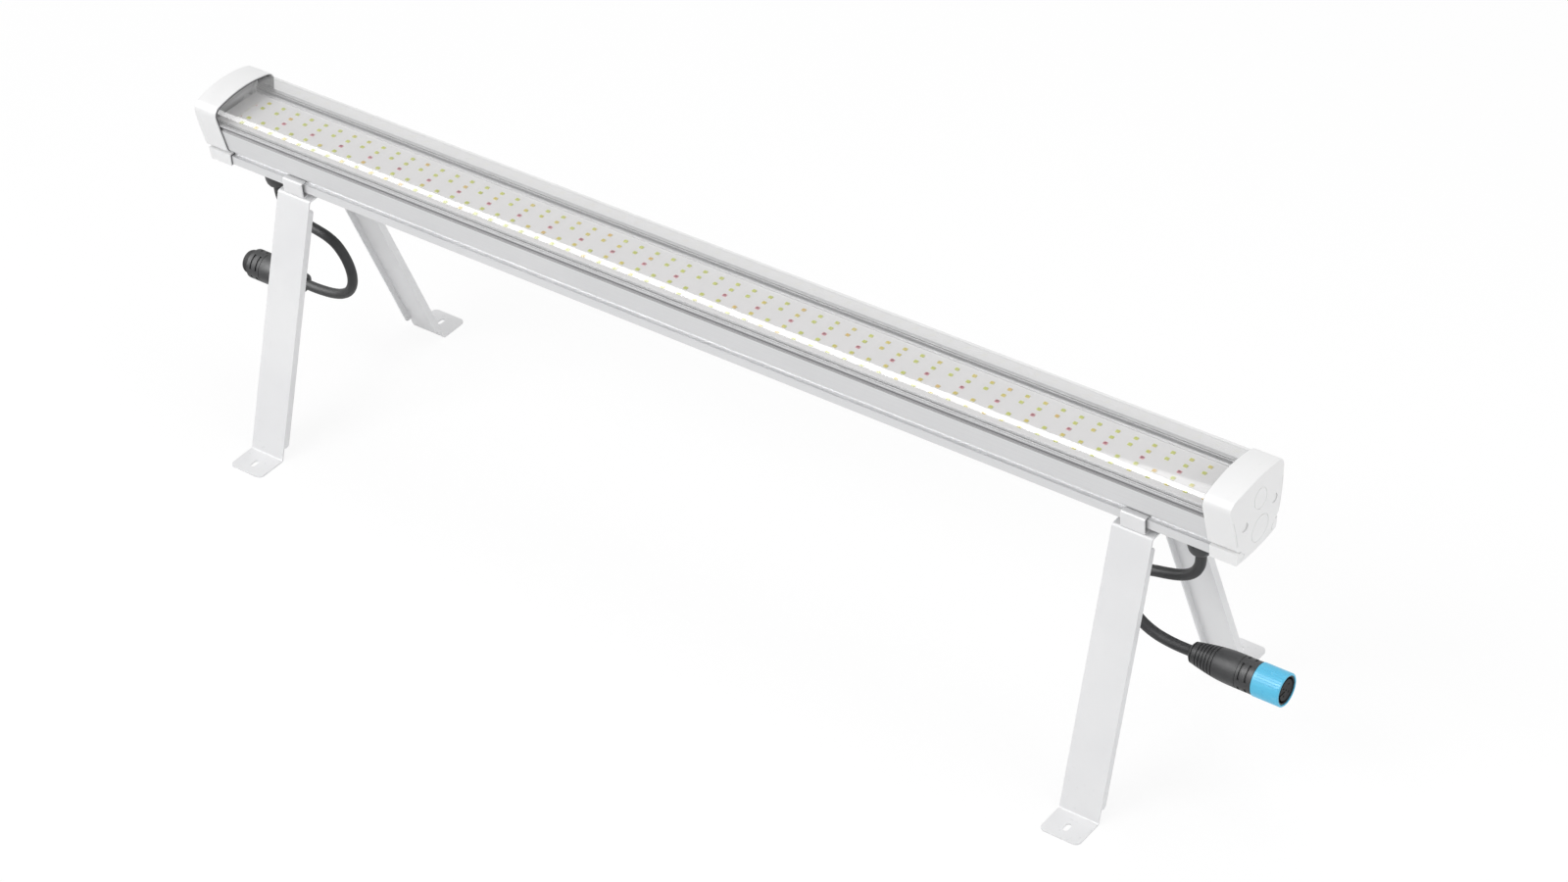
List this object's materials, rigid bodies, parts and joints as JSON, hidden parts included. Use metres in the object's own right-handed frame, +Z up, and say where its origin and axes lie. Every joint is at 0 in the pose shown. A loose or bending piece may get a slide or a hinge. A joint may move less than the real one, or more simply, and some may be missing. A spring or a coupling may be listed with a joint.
{
  "type": "plant canopy bar light",
  "caption": "Slim bar light for a plant canopy, with a clear domed cover, on two A-shaped sheet-metal stands, with a plug lead at one end and a socket lead at the other.",
  "frame": {"origin": "middle of the footprint on the floor, below the middle of the bar", "axes": "+X along the bar towards the socket lead, +Y across the bar away from the viewer, +Z up"},
  "size_m": [1.2382, 0.3186, 0.3447],
  "materials": {
    "anodised_aluminium": "fine satin anodised",
    "clear_cover": "clear gloss extrusion",
    "white_cap": "fine moulded satin",
    "gasket_rubber": "matte",
    "bright_steel": "bright zinc plate",
    "board_white": "white solder mask",
    "chip_yellow_green": "phosphor under clear resin",
    "chip_orange": "warm phosphor under clear resin",
    "chip_red": "dark red resin",
    "terminal_white": "satin",
    "driver_aluminium": "satin",
    "driver_plastic": "satin",
    "wire_brown": "satin",
    "wire_red": "satin",
    "gland_rubber": "matte",
    "gland_nylon": "satin",
    "lead_rubber": "satin",
    "connector_black": "satin",
    "insert_black": "satin",
    "contact_brass": "bright",
    "seal_orange": "satin",
    "ring_blue": "satin",
    "stand_paint": "satin powder coat",
    "clip_steel": "fine brushed"
  },
  "bodies": {
    "bar": {"rail_housing": "anodised_aluminium", "clear_cover": "clear_cover", "end_cap_left": "white_cap", "end_cap_right": "white_cap", "end_gasket_left": "gasket_rubber", "end_gasket_right": "gasket_rubber", "cap_screws_left": "bright_steel", "cap_screws_right": "bright_steel", "led_board_left": "board_white", "led_board_right": "board_white", "white_leds_left": "chip_yellow_green", "white_leds_right": "chip_yellow_green", "warm_leds_left": "chip_orange", "warm_leds_right": "chip_orange", "red_leds_left": "chip_red", "red_leds_right": "chip_red", "board_terminals": "terminal_white", "driver_case": "driver_aluminium", "driver_end_plates": "driver_plastic", "supply_wires_left": "wire_brown", "supply_wires_right": "wire_brown", "board_wires_left": "wire_red", "board_wires_right": "wire_red", "gland_body_left": "gland_nylon", "gland_body_right": "gland_nylon", "gland_washer_left": "gland_rubber", "gland_washer_right": "gland_rubber", "gland_locknut_left": "gland_nylon", "gland_locknut_right": "gland_nylon", "gland_dome_left": "gland_nylon", "gland_dome_right": "gland_nylon", "gland_seal_left": "gland_rubber", "gland_seal_right": "gland_rubber", "lead_left": "lead_rubber", "lead_right": "lead_rubber", "plug_body_left": "connector_black", "plug_shroud_left": "insert_black", "plug_pins_left": "contact_brass", "plug_seal_left": "seal_orange", "socket_body_right": "connector_black", "socket_insert_right": "insert_black", "socket_contacts_right": "contact_brass"},
    "stand_left": {"stand_left": "stand_paint", "rail_clip_left": "clip_steel", "clip_screw_left": "bright_steel", "clip_nut_left": "bright_steel"},
    "stand_right": {"stand_right": "stand_paint", "rail_clip_right": "clip_steel", "clip_screw_right": "bright_steel", "clip_nut_right": "bright_steel"},
    "locking_ring": {"locking_ring_right": "ring_blue"}
  },
  "joints": [
    {"name": "left_stand_slide", "type": "slide", "parent": "bar", "child": "stand_left", "axis": [1, 0, 0], "range_m": [-0.02, 0.455]},
    {"name": "right_stand_slide", "type": "slide", "parent": "bar", "child": "stand_right", "axis": [-1, 0, 0], "range_m": [-0.012, 0.465]},
    {"name": "locking_ring_twist", "type": "hinge", "parent": "bar", "child": "locking_ring", "pos_m": [0.62, 0, 0.121], "axis": [1, 0, 0], "range_deg": [0, 40]}
  ]
}
